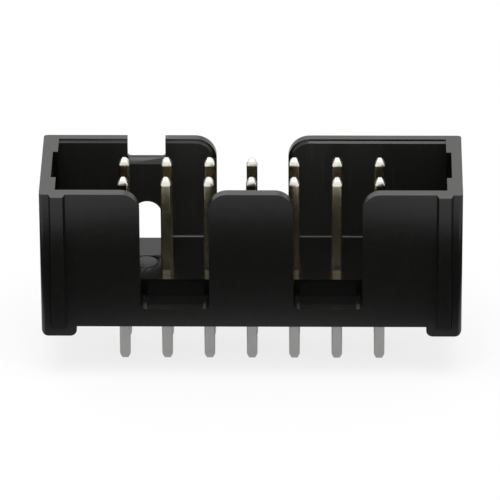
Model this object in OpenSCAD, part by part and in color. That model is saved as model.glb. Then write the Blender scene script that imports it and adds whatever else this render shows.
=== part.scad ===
// Shrouded two-row pin header for a flat-cable socket.
// Origin: centre of the post field, on the board surface. +Z points away from
// the board, +X runs along the rows and +Y points to the wall with the key slot.

/* [Posts] */
// Number of posts in each of the two rows
columns = 7; // [6:1:20]
// Distance between neighbouring posts of a row
pitch = 2.54; // [2.4:0.01:2.7]
// Distance between the two rows
row_pitch = 2.54; // [2.3:0.01:2.8]
// Width of the square post across its flats
post_w = 0.64; // [0.5:0.01:0.8]
// Chamfer along the four long edges of a post
post_edge = 0.085; // [0.02:0.005:0.12]
// Height of the post tips above the board
post_top = 9.3; // [7.5:0.1:12]
// Length of the solder tails below the board surface
tail_l = 2.8; // [1.5:0.1:4.5]
// Height of the tapered tip of a post
tip_h = 0.45; // [0.3:0.05:1]
// Height of the blunt nose at the end of the tip
nose_h = 0.16; // [0.05:0.01:0.25]
// Width of the tip where the nose starts
nose_w = 0.5; // [0.35:0.01:0.5]
// Width of the flat end of the nose
tip_flat = 0.28; // [0.1:0.01:0.32]
// Height of the taper at the end of a tail
tail_tip_h = 0.2; // [0.1:0.01:0.6]
// Width of the flat end of a tail
tail_flat = 0.42; // [0.2:0.01:0.48]
// Play between a post and its hole in the housing, on each side
hole_play = 0.01; // [0:0.005:0.04]

/* [Housing] */
// Distance from the last post of a row to the outside of the end wall
end_reach = 4.88; // [4.4:0.01:7]
// Width of the housing across the rows, without the ribs
body_w = 7.7; // [7:0.1:10]
// Height of the rim above the board
body_h = 9.5; // [8:0.1:12]
// Thickness of the two long walls
wall_t = 0.6; // [0.4:0.05:0.8]
// Thickness of the two end walls
end_t = 0.92; // [0.6:0.01:1.4]
// Height of the cavity floor above the board
floor_z = 2.95; // [2.4:0.05:4]
// Radius of the upright outer corners
corner_r = 0.22; // [0.1:0.02:0.4]
// Lead-in chamfer inside the rim of the key wall
lead_in = 0.17; // [0.05:0.01:0.3]
// Fillet between the cavity floor and the long walls
floor_r = 0.12; // [0.05:0.01:0.3]

/* [Feet] */
// Height of the feet, which is the gap under the housing
standoff = 0.64; // [0.3:0.02:1]
// Length of a foot along the rows
foot_l = 2.1; // [1.5:0.05:3.5]
// Radius of the outer lower corner of a foot
foot_outer_r = 0.42; // [0.2:0.02:0.6]
// Radius of the inner lower corner of a foot
foot_inner_r = 0.4; // [0.1:0.05:0.6]

/* [End pockets] */
// Depth of the pocket in each end wall
pocket_d = 0.3; // [0.1:0.05:0.5]
// Width of the pocket across the rows
pocket_w = 3.3; // [2:0.1:5]

/* [Key slot] */
// Width of the key slot in the key wall
key_w = 4.3; // [3.8:0.1:5]
// Radius of the two rounded corners beside the key slot
key_r = 1.3; // [0.5:0.1:1.6]

/* [First-post mark] */
// Width of the notch in the rim beside the first post
notch_w = 2.27; // [1:0.01:2.4]
// Height of the bottom of the notch above the board
notch_z = 8.15; // [7:0.05:9]
// Radius of the lower corners of the notch
notch_r = 0.2; // [0.1:0.05:0.5]
// Lead-in chamfer on the bottom of the notch
notch_lead = 0.3; // [0.1:0.05:0.35]
// Width of the arched window below the notch
window_w = 1.72; // [1:0.02:2.2]
// Height of the crown of the window above the board
window_top = 5.33; // [4.4:0.01:6]
// How far the window reaches into the floor past the key wall
window_bite = 0.18; // [0.05:0.01:0.4]
// Radius of the lower corners of the window
window_r = 0.3; // [0.1:0.05:0.4]

/* [Front openings] */
// Width of the middle tab of the front wall
tab_w = 5; // [4:0.1:5.4]
// Width of the opening on each side of the middle tab
gap_w = 4.1; // [3:0.1:4.2]
// Radius of the upper corners of the tabs
tab_r = 1.1; // [0.5:0.1:1.4]
// Height of the bottom of the openings and of the window above the board
sill_z = 1.82; // [1.3:0.01:2.3]
// Plastic left between the front posts and the opening
gap_web = 0.6; // [0.3:0.05:0.9]
// Radius of the lower corners of the openings
gap_r = 0.4; // [0.1:0.05:0.6]

/* [Ribs] */
// Width of a front rib at the wall
rib_w = 0.98; // [0.6:0.02:1.4]
// Width of a front rib at its outer face
rib_face_w = 0.72; // [0.4:0.02:0.9]
// How far a rib stands out from the wall
rib_d = 0.4; // [0.2:0.05:0.8]
// Distance from the middle of a rib to the outside of the end wall
rib_inset = 1.05; // [0.9:0.05:2]

/* [Ejector mark] */
// Outer radius of the ejector ring in the floor
ring_r = 0.82; // [0.4:0.02:0.9]
// Width of the ejector ring
ring_w = 0.1; // [0.05:0.01:0.2]
// Depth of the ejector ring
ring_d = 0.05; // [0.02:0.01:0.1]

/* [Hidden] */
$fn = 64;
past = 1;                                   // how far a cut runs past what it cuts
rows = 2;
post_count = rows * columns;
span = (columns - 1) * pitch;               // first to last post of a row
body_l = span + 2 * end_reach;
half_w = body_w / 2;
cavity_l = body_l - 2 * end_t;
cavity_half_w = half_w - wall_t;
mark_x = -span / 2 + pitch / 2;             // midway between the first two columns
gap_face_y = row_pitch / 2 + post_w / 2 + gap_web;

// Odd posts stand along the key wall and even posts along the front wall.
function post_name(i) = str("pin_", i < 10 ? "0" : "", i);
function post_x(i) = (ceil(i / rows) - (columns + 1) / 2) * pitch;
function post_y(i) = (i % rows == 1 ? 1 : -1) * row_pitch / 2;

// Draws a profile of X and Z as a solid from y0 to y1.
module front_view(y0, y1) {
    translate([0, y1, 0]) rotate([90, 0, 0]) linear_extrude(y1 - y0) children();
}

// Draws a profile of Y and Z as a solid from x0 to x1.
module side_view(x0, x1) {
    translate([x0, 0, 0]) rotate([90, 0, 90]) linear_extrude(x1 - x0) children();
}

// A rectangle with its two lower corners rounded by the given radii.
module round_bottom(x0, x1, z0, z1, r0, r1) {
    translate([x0 + r0, z0]) square([x1 - x0 - r0 - r1, z1 - z0]);
    translate([x0, z0 + r0]) square([r0, z1 - z0 - r0]);
    translate([x1 - r1, z0 + r1]) square([r1, z1 - z0 - r1]);
    translate([x0 + r0, z0 + r0]) circle(r0);
    translate([x1 - r1, z0 + r1]) circle(r1);
}

// What is cut from a rim corner at x to round it over; the wall lies on the side dir of x.
module rim_round(x, dir, r) {
    translate([x, body_h]) difference() {
        translate([dir > 0 ? -past : -r, -r]) square([r + past, r + past]);
        translate([dir * r, -r]) circle(r);
    }
}

module body_front() {
    translate([-body_l / 2, standoff]) square([body_l, body_h - standoff]);
    for (side = [0, 1]) mirror([side, 0])
        round_bottom(body_l / 2 - foot_l, body_l / 2, 0, 2 * standoff, foot_inner_r, foot_outer_r);
}

module body_plan() {
    square([body_l - 2 * corner_r, body_w], center = true);
    square([body_l, body_w - 2 * corner_r], center = true);
    for (x = [-1, 1], y = [-1, 1])
        translate([x * (body_l / 2 - corner_r), y * (half_w - corner_r)]) circle(corner_r);
}

module shell() {
    intersection() {
        front_view(-half_w, half_w) body_front();
        linear_extrude(body_h) body_plan();
    }
}

module rib() {
    translate([0, 0, standoff]) linear_extrude(body_h - standoff) polygon([
        [-rib_w / 2, -half_w], [-rib_face_w / 2, -half_w - rib_d],
        [rib_face_w / 2, -half_w - rib_d], [rib_w / 2, -half_w],
        [rib_w / 2, -half_w + wall_t / 2], [-rib_w / 2, -half_w + wall_t / 2]
    ]);
}

module ribs() {
    for (side = [-1, 1]) translate([side * (body_l / 2 - rib_inset), 0, 0]) rib();
}

module cavity() {
    side_view(-cavity_l / 2, cavity_l / 2)
        round_bottom(-cavity_half_w, cavity_half_w, floor_z, body_h + past, floor_r, floor_r);
    translate([-cavity_l / 2 - pocket_d, -pocket_w / 2, floor_z])
        cube([cavity_l + 2 * pocket_d, pocket_w, body_h]);
}

// The chamfer inside the rim of the key wall, along its straight stretches.
module key_wall_lead_in() {
    side_view(-cavity_l / 2, cavity_l / 2) polygon([
        [cavity_half_w, body_h - lead_in], [cavity_half_w + lead_in, body_h],
        [cavity_half_w + lead_in, body_h + past], [0, body_h + past], [0, body_h - lead_in]
    ]);
}

// The chamfer goes round the rounded corner beside the key slot as part of a cone.
module key_corner_lead_in() {
    translate([key_w / 2, cavity_half_w, body_h - key_r]) difference() {
        translate([-past, -past, 0]) cube([key_r + past, lead_in + past, key_r + past]);
        translate([key_r, lead_in, 0]) rotate([90, 0, 0])
            cylinder(h = lead_in, r1 = key_r, r2 = key_r - lead_in);
        translate([key_r, 0, 0]) rotate([90, 0, 0])
            cylinder(h = 2 * past, r = key_r - lead_in);
    }
}

module key_slot() {
    front_view(cavity_half_w - floor_r, half_w + past) {
        translate([-key_w / 2, floor_z]) square([key_w, body_h]);
        for (side = [0, 1]) mirror([side, 0]) rim_round(key_w / 2, 1, key_r);
    }
    for (side = [0, 1]) mirror([side, 0, 0]) key_corner_lead_in();
}

// A notch in the rim and a window below it show where the first post is.
module first_post_mark() {
    translate([mark_x, 0, 0]) {
        front_view(cavity_half_w - past, half_w + past)
            round_bottom(-notch_w / 2, notch_w / 2, notch_z, body_h + past, notch_r, notch_r);
        side_view(-notch_w / 2, notch_w / 2) polygon([
            [cavity_half_w - past, notch_z - notch_lead - past],
            [cavity_half_w + notch_lead, notch_z],
            [cavity_half_w + notch_lead, body_h], [cavity_half_w - past, body_h]
        ]);
        front_view(cavity_half_w - window_bite, half_w + past) {
            translate([0, window_top - window_w / 2]) circle(window_w / 2);
            round_bottom(-window_w / 2, window_w / 2, sill_z, window_top - window_w / 2,
                         window_r, window_r);
        }
    }
}

module front_openings() {
    front_view(-half_w - past, -gap_face_y) for (side = [0, 1]) mirror([side, 0])
        round_bottom(tab_w / 2, tab_w / 2 + gap_w, sill_z, body_h + past, gap_r, gap_r);
    front_view(-half_w - past, -cavity_half_w + floor_r) for (side = [0, 1]) mirror([side, 0]) {
        rim_round(tab_w / 2, -1, tab_r);
        rim_round(tab_w / 2 + gap_w, 1, tab_r);
    }
}

module post_holes() {
    hole_w = post_w + 2 * hole_play;
    for (i = [1:post_count])
        translate([post_x(i) - hole_w / 2, post_y(i) - hole_w / 2, 0])
            cube([hole_w, hole_w, floor_z + past]);
}

module ejector_ring() {
    translate([mark_x, 0, floor_z - ring_d]) difference() {
        cylinder(h = ring_d + past, r = ring_r);
        cylinder(h = ring_d + past, r = ring_r - ring_w);
    }
}

module housing() {
    color([0.09, 0.09, 0.085]) difference() {
        union() {
            shell();
            ribs();
        }
        cavity();
        key_wall_lead_in();
        key_slot();
        first_post_mark();
        front_openings();
        post_holes();
        ejector_ring();
    }
}

// A post's outline from the end of its tail to its nose.
module post_outline() {
    polygon([
        [-tail_flat / 2, -tail_l], [tail_flat / 2, -tail_l],
        [post_w / 2, -tail_l + tail_tip_h], [post_w / 2, post_top - tip_h],
        [nose_w / 2, post_top - nose_h], [tip_flat / 2, post_top],
        [-tip_flat / 2, post_top], [-nose_w / 2, post_top - nose_h],
        [-post_w / 2, post_top - tip_h], [-post_w / 2, -tail_l + tail_tip_h]
    ]);
}

module post_section() {
    flat = post_w - 2 * post_edge;
    polygon([
        [-flat / 2, -post_w / 2], [flat / 2, -post_w / 2], [post_w / 2, -flat / 2],
        [post_w / 2, flat / 2], [flat / 2, post_w / 2], [-flat / 2, post_w / 2],
        [-post_w / 2, flat / 2], [-post_w / 2, -flat / 2]
    ]);
}

module post(i) {
    color([0.78, 0.66, 0.36]) translate([post_x(i), post_y(i), 0]) intersection() {
        translate([0, 0, -tail_l]) linear_extrude(post_top + tail_l) post_section();
        front_view(-post_w, post_w) post_outline();
        side_view(-post_w, post_w) post_outline();
    }
}

housing();
for (i = [1:post_count]) post(i);
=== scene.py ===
import math

import bmesh
import bpy
from mathutils import Matrix, Vector


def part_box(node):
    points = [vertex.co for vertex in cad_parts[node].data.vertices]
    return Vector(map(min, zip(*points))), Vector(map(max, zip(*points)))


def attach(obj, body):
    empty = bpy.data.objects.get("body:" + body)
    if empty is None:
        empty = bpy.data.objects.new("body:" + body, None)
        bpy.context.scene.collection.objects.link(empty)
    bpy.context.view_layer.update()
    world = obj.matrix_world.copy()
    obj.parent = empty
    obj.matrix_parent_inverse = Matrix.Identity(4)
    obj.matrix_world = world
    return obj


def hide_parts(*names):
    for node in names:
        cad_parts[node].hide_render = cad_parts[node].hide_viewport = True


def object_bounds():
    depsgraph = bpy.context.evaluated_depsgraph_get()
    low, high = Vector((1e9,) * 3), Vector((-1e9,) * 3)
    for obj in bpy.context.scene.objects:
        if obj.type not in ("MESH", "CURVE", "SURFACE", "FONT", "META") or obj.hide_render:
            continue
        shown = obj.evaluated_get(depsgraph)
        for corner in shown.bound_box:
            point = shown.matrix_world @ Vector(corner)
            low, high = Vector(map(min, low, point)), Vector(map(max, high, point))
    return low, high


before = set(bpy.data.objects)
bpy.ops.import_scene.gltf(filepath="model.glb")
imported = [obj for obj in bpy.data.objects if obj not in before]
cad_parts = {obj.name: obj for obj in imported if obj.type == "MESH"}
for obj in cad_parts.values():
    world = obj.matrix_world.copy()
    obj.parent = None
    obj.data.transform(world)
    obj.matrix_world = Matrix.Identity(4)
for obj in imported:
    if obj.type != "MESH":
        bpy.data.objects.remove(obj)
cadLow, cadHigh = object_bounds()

mm = 0.001
scene = bpy.context.scene
scene.view_settings.view_transform = "Standard"

mouldingSizes = {                               # sizes of the solid that finishes and edges go by
    "floorHeight": 2.95 * mm,                   # cavity floor above the feet
    "wallThickness": 0.6 * mm,                  # long walls
    "leadIn": 0.17 * mm,                        # lead-in chamfer along the key wall
    "keyCorner": 1.3 * mm,                      # rounded corners beside the key slot
}
housingLow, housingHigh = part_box("housing")
postBoxes = {node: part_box(node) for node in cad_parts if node.startswith("pin_")}
floorZ = housingLow.z + mouldingSizes["floorHeight"]
rimZ = housingHigh.z
keyWallY = housingHigh.y - mouldingSizes["wallThickness"]
ringX = (postBoxes["pin_01"][0].x + postBoxes["pin_03"][1].x) / 2
print("frame loaded:", len(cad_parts), "nodes")


class Shade:                                    # one socket that can be used in sums
    def __init__(self, graph, socket):
        self.graph, self.socket = graph, socket

    def math(self, operation, *terms):
        return self.graph.add("ShaderNodeMath", {"operation": operation}, dict(enumerate(terms)))

    def __add__(self, other): return self.math("ADD", self, other)
    def __radd__(self, other): return self.math("ADD", other, self)
    def __sub__(self, other): return self.math("SUBTRACT", self, other)
    def __rsub__(self, other): return self.math("SUBTRACT", other, self)
    def __mul__(self, other): return self.math("MULTIPLY", self, other)
    def __rmul__(self, other): return self.math("MULTIPLY", other, self)
    def __pow__(self, other): return self.math("POWER", self, other)
    def __neg__(self): return self.math("MULTIPLY", self, -1.0)
    def __abs__(self): return self.math("ABSOLUTE", self)

    def ramp(self, low, high):                  # 0 at low and 1 at high, smooth between
        return self.graph.add("ShaderNodeMapRange", {"interpolation_type": "SMOOTHSTEP"},
                              {"Value": self, "From Min": low, "From Max": high})


class Graph:
    def __init__(self, owner):
        owner.use_nodes = True
        self.tree = owner.node_tree
        self.tree.nodes.clear()

    def add(self, kind, settings=None, sockets=None, output=0):
        node = self.tree.nodes.new(kind)
        for name, value in (settings or {}).items():
            setattr(node, name, value)
        for name, value in (sockets or {}).items():
            if isinstance(value, Shade):
                self.tree.links.new(value.socket, node.inputs[name])
            else:
                node.inputs[name].default_value = value
        return Shade(self, node.outputs[output]) if node.outputs else None

    def mix(self, amount, first, second):       # two colours
        return self.add("ShaderNodeMix", {"data_type": "RGBA"}, {0: amount, 6: first, 7: second}, 2)

    def place(self, stretch=(1, 1, 1), turn=(0, 0, 0)):
        coords = self.add("ShaderNodeTexCoord", output=3)
        return self.add("ShaderNodeMapping", sockets={"Vector": coords, "Scale": stretch, "Rotation": turn})

    def noise(self, size, detail=2.0, stretch=(1, 1, 1), rough=0.5, turn=(0, 0, 0)):
        return self.add("ShaderNodeTexNoise", sockets={
            "Vector": self.place(stretch, turn), "Scale": 1 / size, "Detail": detail, "Roughness": rough})

    def axes(self):                             # place on the part along X, Y and Z, in metres
        split = self.add("ShaderNodeSeparateXYZ", sockets={"Vector": self.place()})
        return [Shade(self, socket) for socket in split.socket.node.outputs]

    def bump(self, height, depth, strength=1.0, normal=None):
        sockets = {"Height": height, "Distance": depth, "Strength": strength}
        if normal:
            sockets["Normal"] = normal
        return self.add("ShaderNodeBump", sockets=sockets)

    def surface(self, shader):
        return self.add("ShaderNodeOutputMaterial", sockets={"Surface": shader})


cameraPlan = {
    "distance": 380 * mm,
    "elevation": 28.664,
    "azimuth": -0.9,
    "roll": 0.3,
    "aim": (-0.124 * mm, 0.0, 3.76 * mm),
    "lens": 455.2,
}


def addCamera(plan):
    rise, turn = math.radians(plan["elevation"]), math.radians(plan["azimuth"])
    ahead = Vector((math.sin(turn) * math.cos(rise), math.cos(turn) * math.cos(rise), -math.sin(rise)))
    data = bpy.data.cameras.new("camera")
    data.lens, data.sensor_width, data.clip_start, data.clip_end = plan["lens"], 36, 0.01, 10
    camera = bpy.data.objects.new("camera", data)
    scene.collection.objects.link(camera)
    camera.location = -plan["distance"] * ahead
    look = (Vector(plan["aim"]) - camera.location).to_track_quat("-Z", "Y").to_matrix().to_4x4()
    camera.matrix_world = (Matrix.Translation(camera.location) @ look
                           @ Matrix.Rotation(math.radians(-plan["roll"]), 4, "Z"))
    scene.camera = camera


addCamera(cameraPlan)
print("camera set")


plasticLook = {
    "colour": (0.0042, 0.0042, 0.0038, 1),
    "dusty": (0.0062, 0.0062, 0.0056, 1),
    # the inner face of the key wall gets a lighter copy of the black: painted light
    "innerWallPaintedLight": (0.0165, 0.0165, 0.0145, 1),
    # the wall tops are painted much lighter than the black: painted highlight of the overhead light
    "rimPaintedHighlight": (0.056, 0.056, 0.053, 1),
    "scuffColour": (0.030, 0.030, 0.028, 1),
    "wallRoughness": 0.31,
    "floorRoughness": 0.17,
    "rimRoughness": 0.42,
    "mottleSize": 0.30 * mm,
    "grainSize": 0.09 * mm,
    "grainDepth": 0.003 * mm,
    "flowSize": 1.8 * mm,
    "flowDepth": 0.003 * mm,
    "mottleShare": 0.08,                        # what the patterns add to the roughness
    "grainShare": 0.08,
    "scuffShare": 0.06,
    "scuffSize": 0.14 * mm,
    "floorFade": (0.03 * mm, 0.08 * mm),        # heights over which the floor's finish ends
    "sideFade": (3.1 * mm, 3.3 * mm),           # and how far it goes to the long walls
    "rimFade": (0.05 * mm, 0.01 * mm),          # depths below the rim
    "wallFade": (0.01 * mm, 0.04 * mm),         # distances from the inside of the key wall
    "grooveFade": (0.02 * mm, 0.09 * mm),       # distances from the middle of the ring
    "ringRadius": 0.77 * mm,
    "ringDepth": 0.035 * mm,
}
metalLook = {
    "gold": (0.76, 0.68, 0.46, 1),
    "khaki": (0.68, 0.65, 0.45, 1),
    "rose": (0.73, 0.61, 0.46, 1),
    # partly a paler bare end, partly a painted highlight of the overhead light on the tips
    "paleTipAndHighlight": (0.79, 0.78, 0.71, 1),
    # the tails' tin is darker than bare tin: painted shade of the body over the floor the tails reflect
    "tinWithPaintedShade": (0.335, 0.335, 0.33, 1),
    "goldRoughness": 0.20,
    "tipRoughness": 0.30,
    "tinRoughness": 0.36,
    "tinBelow": 0.4 * mm,
    "paleAbove": 0.42 * mm,                     # length of the pale end, which is partly a painted highlight
    "tintSize": 3.1 * mm,
    "smudgeSize": 0.5 * mm,
    "smudgeShare": 0.14,                        # what smudges add to the roughness
    "drawSize": 0.06 * mm,
    "drawDepth": 0.003 * mm,
}


def plasticMaterial(look):
    material = bpy.data.materials.new("black moulded plastic")
    g = Graph(material)
    x, y, z = g.axes()
    mottle = g.noise(look["mottleSize"], 4.0, rough=0.6)
    grain = g.noise(look["grainSize"], 3.0)
    flow = g.noise(look["flowSize"], 3.0, stretch=(0.35, 1, 1))
    scuffs = g.noise(look["scuffSize"], 2.0, stretch=(1, 1, 0.05)).ramp(0.60, 0.72)
    floorTop, floorGone = look["floorFade"]
    inFloor = (1 - z.ramp(floorZ + floorTop, floorZ + floorGone)) * (1 - abs(y).ramp(*look["sideFade"]))
    rimStart, rimFull = look["rimFade"]
    onRim = z.ramp(rimZ - rimStart, rimZ - rimFull)
    onKeyWall = 1 - abs(y - keyWallY).ramp(*look["wallFade"])
    scuffs = scuffs * onKeyWall * (1 - onRim)
    fromMark = ((x - ringX) ** 2 + y ** 2) ** 0.5
    groove = 1 - abs(fromMark - look["ringRadius"]).ramp(*look["grooveFade"])
    colour = g.mix(mottle.ramp(0.35, 0.75), look["colour"], look["dusty"])
    # painted light: the inner face of the key wall is lightened
    colour = g.mix(onKeyWall, colour, look["innerWallPaintedLight"])
    colour = g.mix(scuffs * 0.7, colour, look["scuffColour"])
    # painted highlight: the rim tops get a much lighter copy of the black
    colour = g.mix(onRim, colour, look["rimPaintedHighlight"])
    roughness = (look["wallRoughness"] + (mottle - 0.5) * look["mottleShare"]
                 + (grain - 0.5) * look["grainShare"] + scuffs * look["scuffShare"]
                 + inFloor * (look["floorRoughness"] - look["wallRoughness"])
                 + onRim * (look["rimRoughness"] - look["wallRoughness"]))
    normal = g.bump(grain, look["grainDepth"])
    normal = g.bump(flow, look["flowDepth"], normal=normal)
    normal = g.bump(-groove * inFloor, look["ringDepth"], normal=normal)
    g.surface(g.add("ShaderNodeBsdfPrincipled", sockets={
        "Base Color": colour, "Roughness": roughness, "IOR": 1.46, "Normal": normal}))
    return material


def metalMaterial(look):
    material = bpy.data.materials.new("plated post metal")
    g = Graph(material)
    x, y, z = g.axes()
    tint = g.noise(look["tintSize"], 1.0, stretch=(1, 1, 0.05))
    draw = g.noise(look["drawSize"], 3.0, stretch=(1, 1, 0.03))
    smudge = g.noise(look["smudgeSize"], 4.0, rough=0.65)
    gold = g.mix(tint.ramp(0.40, 0.48), look["khaki"], look["gold"])
    gold = g.mix(tint.ramp(0.52, 0.60), gold, look["rose"])
    gilt = z.ramp(look["tinBelow"] - 0.2 * mm, look["tinBelow"] + 0.2 * mm)
    # painted shade: the tin of the tails is darkened
    colour = g.mix(gilt, look["tinWithPaintedShade"], gold)
    top = postBoxes["pin_01"][1].z - look["paleAbove"]
    tipPaleAndLit = z.ramp(top - 0.04 * mm, top + 0.04 * mm)
    # the tips turn pale: partly a paler bare end, partly a painted highlight
    colour = g.mix(tipPaleAndLit, colour, look["paleTipAndHighlight"])
    roughness = (look["tinRoughness"] + gilt * (look["goldRoughness"] - look["tinRoughness"])
                 + tipPaleAndLit * (look["tipRoughness"] - look["goldRoughness"])
                 + (smudge - 0.5) * look["smudgeShare"])
    g.surface(g.add("ShaderNodeBsdfPrincipled", sockets={
        "Base Color": colour, "Metallic": 1.0, "Roughness": roughness,
        "Normal": g.bump(draw, look["drawDepth"])}))
    return material


plastic = plasticMaterial(plasticLook)
metal = metalMaterial(metalLook)
print("materials made")


def mergedCopy(node):                           # the CAD node's shape with its loose triangles joined
    bm = bmesh.new()
    bm.from_mesh(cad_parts[node].data)
    bmesh.ops.remove_doubles(bm, verts=bm.verts, dist=0.0005 * mm)
    bmesh.ops.dissolve_limit(bm, angle_limit=math.radians(0.3), verts=bm.verts, edges=bm.edges)
    return bm


def finishPiece(bm, name, node, material, sharpAngle):
    mesh = bpy.data.meshes.new(name)
    bm.to_mesh(mesh)
    bm.free()
    mesh.shade_smooth()
    mesh.set_sharp_from_angle(angle=math.radians(sharpAngle))
    mesh.materials.append(material)
    piece = bpy.data.objects.new(name, mesh)
    scene.collection.objects.link(piece)
    weighted = piece.modifiers.new("even shading", "WEIGHTED_NORMAL")
    weighted.keep_sharp = True
    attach(piece, "root")
    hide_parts(node)
    return piece


housingPlan = {
    "stepDrop": 0.13 * mm,                      # upright step between the key wall's rim and its lead-in
    "leadIn": 0.11 * mm,
    "edgeRound": 0.03 * mm,
    "roundSegments": 2,
    "sharpestFold": 28,                         # degrees, folds past this are rounded over
    "holeReach": 0.36 * mm,                     # edges this near a post's axis stay sharp
    "ringReach": 0.9 * mm,                      # and so do those of the ejector ring
    "ringDepthReach": 0.07 * mm,
}


def nearPost(point, reach):
    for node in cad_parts:
        if node.startswith("pin_"):
            low, high = postBoxes[node]
            centre = (low + high) / 2
            if abs(point.x - centre.x) < reach and abs(point.y - centre.y) < reach:
                return True
    return False


def stepLeadIn(bm, plan):                       # parts the lead-in in two and drops its lower half
    oldWidth, near = mouldingSizes["leadIn"], 0.005 * mm
    lowest = rimZ - mouldingSizes["keyCorner"] - 2 * near
    slanted = [face for face in bm.faces if abs(face.normal.y + math.sqrt(0.5)) < 0.02
               and face.calc_center_median().z > lowest
               and keyWallY < face.calc_center_median().y < keyWallY + oldWidth]
    across = {edge for face in slanted for edge in face.edges
              if abs(abs(edge.verts[0].co.y - edge.verts[1].co.y) - oldWidth) < near}
    pairs = [sorted(edge.verts, key=lambda vert: vert.co.y) for edge in across]
    moves = []                                  # where each vertex is and where it goes
    for lower, upper in pairs:
        inward = Vector((lower.co.x - upper.co.x, 0, lower.co.z - upper.co.z)).normalized()
        edgeLine = Vector((upper.co.x, 0, upper.co.z))
        onWall, onStep = Vector((0, keyWallY, 0)), Vector((0, keyWallY + plan["leadIn"], 0))
        moves.append((lower.co.copy(), edgeLine + inward * (plan["stepDrop"] + plan["leadIn"]) + onWall))
        moves.append(((lower.co + upper.co) / 2, edgeLine + inward * plan["stepDrop"] + onStep))
        moves.append((upper.co.copy(), edgeLine + onStep))
    bmesh.ops.subdivide_edges(bm, edges=list(across), cuts=1, use_grid_fill=True)
    found = [(min(bm.verts, key=lambda vert: (vert.co - place).length), target) for place, target in moves]
    for vert, target in found:
        vert.co = target
    bmesh.ops.recalc_face_normals(bm, faces=bm.faces)
    print("lead-in faces:", len(slanted), "cross edges:", len(across))


def makeHousing(plan):
    bm = mergedCopy("housing")
    stepLeadIn(bm, plan)
    fold = math.radians(plan["sharpestFold"])
    chosen = []
    for edge in bm.edges:
        if len(edge.link_faces) != 2 or edge.calc_face_angle(0) < fold:
            continue
        middle = (edge.verts[0].co + edge.verts[1].co) / 2
        if nearPost(middle, plan["holeReach"]):
            continue
        onFloor = abs(middle.z - floorZ) < plan["ringDepthReach"]
        if onFloor and math.hypot(middle.x - ringX, middle.y) < plan["ringReach"]:
            continue
        chosen.append(edge)
    print("housing edges to round:", len(chosen), "of", len(bm.edges))
    bmesh.ops.bevel(bm, geom=chosen, offset=plan["edgeRound"], offset_type="OFFSET", affect="EDGES",
                    segments=plan["roundSegments"], profile=0.5, material=-1, clamp_overlap=True)
    return finishPiece(bm, "housing_moulding", "housing", plastic, 25)


postPlan = {
    "noseWidth": 0.42 * mm,                     # where the blunt nose starts
    "tipWidth": 0.20 * mm,
    "tailWidth": 0.36 * mm,
    "tailTaper": 0.33 * mm,
    "edgeRound": 0.022 * mm,
    "roundSegments": 2,
    "sharpestFold": 15,
}


def slimEnds(bm, box, plan):                     # the tip and the tail end narrow a little more
    low, high = box
    middle = (low + high) / 2
    postWidth = high.x - low.x
    near = 0.002 * mm
    levels = sorted({round(vert.co.z / mm, 3) for vert in bm.verts})
    tailEnd, tailCorner, tailFull, tipFull, tipCorner, nose, tip = [level * mm for level in levels]
    corner = max(vert.co.x - middle.x for vert in bm.verts if abs(vert.co.z - tipCorner) < near) * 2
    newTailFull = tailEnd + plan["tailTaper"]
    share = (postWidth - corner) / (postWidth - plan["tailWidth"])
    newTailCorner = newTailFull - share * plan["tailTaper"]
    share = (postWidth - corner) / (postWidth - plan["noseWidth"])
    newTipCorner = tipFull + share * (nose - tipFull)
    changes = [                                 # old height, new height, new width if any
        (tailEnd, tailEnd, plan["tailWidth"]), (tailCorner, newTailCorner, None),
        (tailFull, newTailFull, None), (tipCorner, newTipCorner, None),
        (nose, nose, plan["noseWidth"]), (tip, tip, plan["tipWidth"]),
    ]
    for vert in bm.verts:
        z, narrow = vert.co.z, None
        for level, newLevel, width in changes:
            if abs(z - level) < near:
                vert.co.z, narrow = newLevel, width
        if narrow:
            vert.co.x = middle.x + math.copysign(narrow / 2, vert.co.x - middle.x)
            vert.co.y = middle.y + math.copysign(narrow / 2, vert.co.y - middle.y)


def makePost(node, plan):
    bm = mergedCopy(node)
    slimEnds(bm, postBoxes[node], plan)
    fold = math.radians(plan["sharpestFold"])
    chosen = [edge for edge in bm.edges if edge.calc_face_angle(0) > fold]
    bmesh.ops.bevel(bm, geom=chosen, offset=plan["edgeRound"], offset_type="OFFSET", affect="EDGES",
                    segments=plan["roundSegments"], profile=0.5, material=-1, clamp_overlap=True)
    return finishPiece(bm, node.replace("pin", "post"), node, metal, 30)


housing = makeHousing(housingPlan)
posts = [makePost(node, postPlan) for node in sorted(postBoxes)]
print("pieces made:", 1 + len(posts), "housing faces", len(housing.data.polygons))


stagePlan = {
    "floorWidth": 900 * mm,
    "floorColour": (0.97, 0.97, 0.97, 1),
    "floorWhiteShare": 0.80,
    "screenRadius": 10.5 * mm,                  # across the rows, and stretched along them
    "screenStretch": 2.3,
    "screenTop": 5.0 * mm,
    "screenColour": (0.036, 0.036, 0.034, 1),
    "skyForLight": 0.50,
}


def shownRays(g):                               # 1 for what the camera, gloss and glass see
    node = g.add("ShaderNodeLightPath").socket.node
    seen = [Shade(g, node.outputs[name]) for name in
            ("Is Camera Ray", "Is Glossy Ray", "Is Transmission Ray")]
    return seen[0].math("MAXIMUM", seen[0].math("MAXIMUM", seen[0], seen[1]), seen[2])


def addFloor(plan):
    bm = bmesh.new()
    bmesh.ops.create_grid(bm, x_segments=2, y_segments=2, size=plan["floorWidth"] / 2)
    bmesh.ops.translate(bm, verts=bm.verts, vec=(0, 0, cadLow.z))
    mesh = bpy.data.meshes.new("floor")
    bm.to_mesh(mesh)
    bm.free()
    floor = bpy.data.objects.new("floor", mesh)
    scene.collection.objects.link(floor)
    material = bpy.data.materials.new("pale floor")
    g = Graph(material)
    lit = g.add("ShaderNodeBsdfDiffuse", sockets={"Color": plan["floorColour"]})
    white = g.add("ShaderNodeEmission", sockets={"Color": (1, 1, 1, 1), "Strength": 1.0})
    g.surface(g.add("ShaderNodeMixShader", sockets={
        0: shownRays(g) * plan["floorWhiteShare"], 1: lit, 2: white}))
    mesh.materials.append(material)


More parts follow.
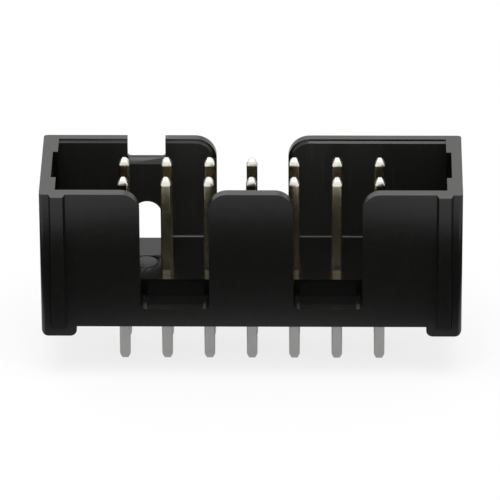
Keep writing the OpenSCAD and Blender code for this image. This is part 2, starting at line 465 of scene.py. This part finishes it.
def addScreen(plan):                            # a low dark screen that only reflections show
    bm = bmesh.new()
    bmesh.ops.create_cone(bm, cap_ends=False, segments=64, radius1=plan["screenRadius"],
                          radius2=plan["screenRadius"], depth=plan["screenTop"] - cadLow.z)
    bmesh.ops.scale(bm, verts=bm.verts, vec=(plan["screenStretch"], 1, 1))
    bmesh.ops.translate(bm, verts=bm.verts, vec=(0, 0, (plan["screenTop"] + cadLow.z) / 2))
    mesh = bpy.data.meshes.new("screen")
    bm.to_mesh(mesh)
    bm.free()
    screen = bpy.data.objects.new("screen", mesh)
    scene.collection.objects.link(screen)
    material = bpy.data.materials.new("dark screen")
    g = Graph(material)
    g.surface(g.add("ShaderNodeBsdfDiffuse", sockets={"Color": plan["screenColour"]}))
    mesh.materials.append(material)
    screen.visible_camera = screen.visible_diffuse = screen.visible_shadow = False
    screen.visible_transmission = screen.visible_volume_scatter = False


def addSky(plan):
    world = bpy.data.worlds.new("studio")
    scene.world = world
    g = Graph(world)
    dim = g.add("ShaderNodeBackground", sockets={"Color": (1, 1, 1, 1), "Strength": plan["skyForLight"]})
    white = g.add("ShaderNodeBackground", sockets={"Color": (1, 1, 1, 1), "Strength": 1.0})
    mixed = g.add("ShaderNodeMixShader", sockets={0: shownRays(g), 1: dim, 2: white})
    g.add("ShaderNodeOutputWorld", sockets={"Surface": mixed})


lampTarget = (0, 0, 4 * mm)
softboxes = [
    {"name": "overhead", "at": (0.00, -0.08, 0.33), "width": 0.26, "depth": 0.20, "level": 4.6},
    {"name": "back left", "at": (-0.16, 0.26, 0.24), "width": 0.22, "depth": 0.16, "level": 1.3},
    {"name": "front right", "at": (0.24, -0.24, 0.22), "width": 0.16, "depth": 0.16, "level": 0.8},
]


def addSoftbox(box):                            # level is how bright its face looks
    data = bpy.data.lights.new(box["name"], "AREA")
    data.shape, data.size, data.size_y = "RECTANGLE", box["width"], box["depth"]
    data.energy = box["level"] * math.pi * box["width"] * box["depth"]
    lamp = bpy.data.objects.new(box["name"], data)
    scene.collection.objects.link(lamp)
    lamp.location = box["at"]
    lamp.rotation_euler = (Vector(lampTarget) - lamp.location).to_track_quat("-Z", "Y").to_euler()


addFloor(stagePlan)
addScreen(stagePlan)
addSky(stagePlan)
for box in softboxes:
    addSoftbox(box)
print("floor, screen and lights set")
